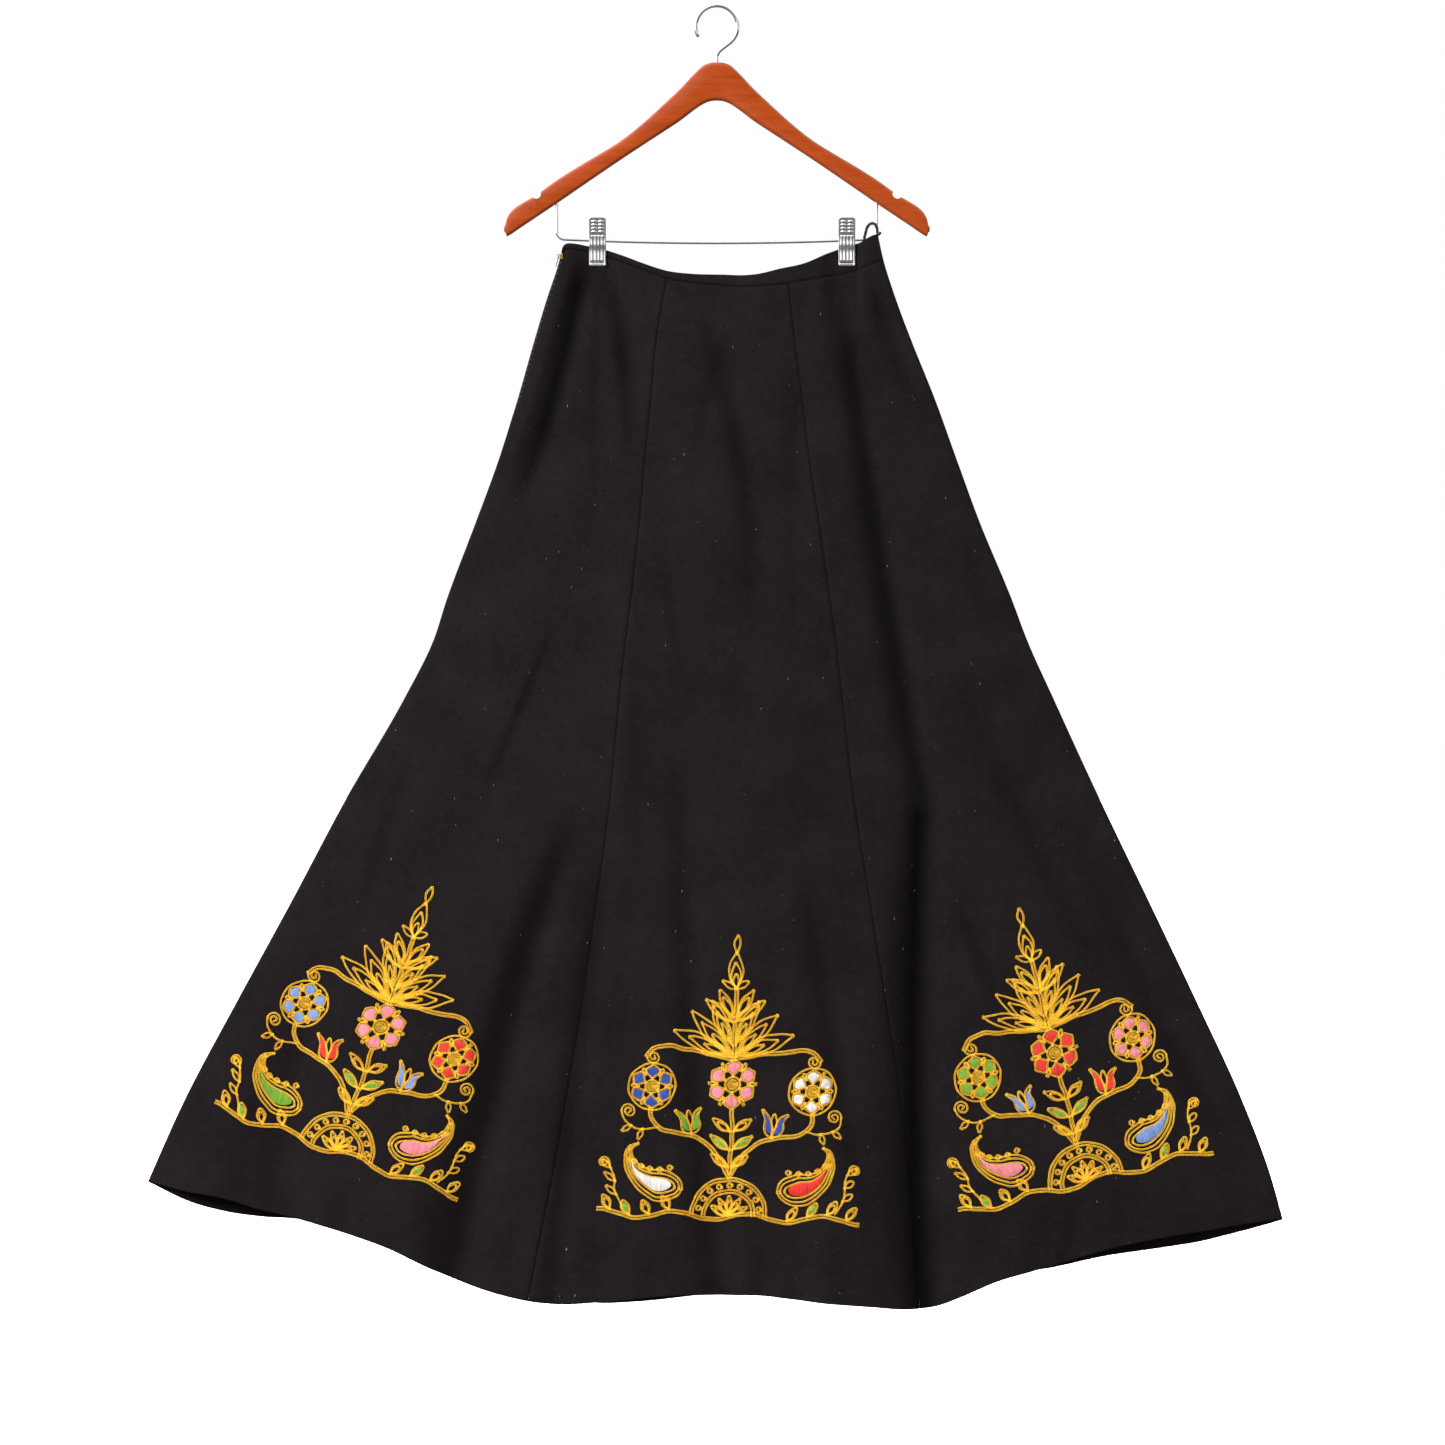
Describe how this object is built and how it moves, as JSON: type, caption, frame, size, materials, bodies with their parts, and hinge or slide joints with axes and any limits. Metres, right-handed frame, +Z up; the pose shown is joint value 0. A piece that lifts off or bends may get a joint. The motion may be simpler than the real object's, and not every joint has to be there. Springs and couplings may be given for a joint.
{
  "type": "embroidered maxi skirt on a clip hanger",
  "caption": "Long flared six-gore wool skirt hanging flat by its waistband from the two clips of a wooden hanger, hem open below.",
  "frame": {"origin": "top of the hanger hook's inner curve, where a rod carries it", "axes": "+Z up, the skirt's front faces -Y, and +X is to the right as the front is seen"},
  "size_m": [1.1946, 0.0828, 1.3713],
  "materials": {
    "wool": "matt felted wool",
    "zip_tape": "woven tape",
    "brass": "polished",
    "lacquered_wood": "red-brown lacquer",
    "chrome": "bright"
  },
  "bodies": {
    "skirt": {"front_left_gore": "wool", "front_centre_gore": "wool", "front_right_gore": "wool", "back_left_gore": "wool", "back_centre_gore": "wool", "back_right_gore": "wool", "waistband_front": "wool", "waistband_back": "wool", "zip_tape_front": "zip_tape", "zip_tape_back": "zip_tape", "zip_slider": "brass", "hanger_loop": "zip_tape", "hanger_wood": "lacquered_wood", "hanger_hook": "chrome", "hanger_bar": "chrome", "clip_left_front": "chrome", "clip_left_back": "chrome", "clip_left_spring": "chrome", "clip_right_front": "chrome", "clip_right_back": "chrome", "clip_right_spring": "chrome"},
    "zip_pull": {"zip_pull": "brass"}
  },
  "joints": [
    {"name": "zip_pull_swing", "type": "hinge", "parent": "skirt", "child": "zip_pull", "pos_m": [-0.16616, -0.00075, -0.2615], "axis": [0, 1, 0], "range_deg": [0, 150]}
  ]
}
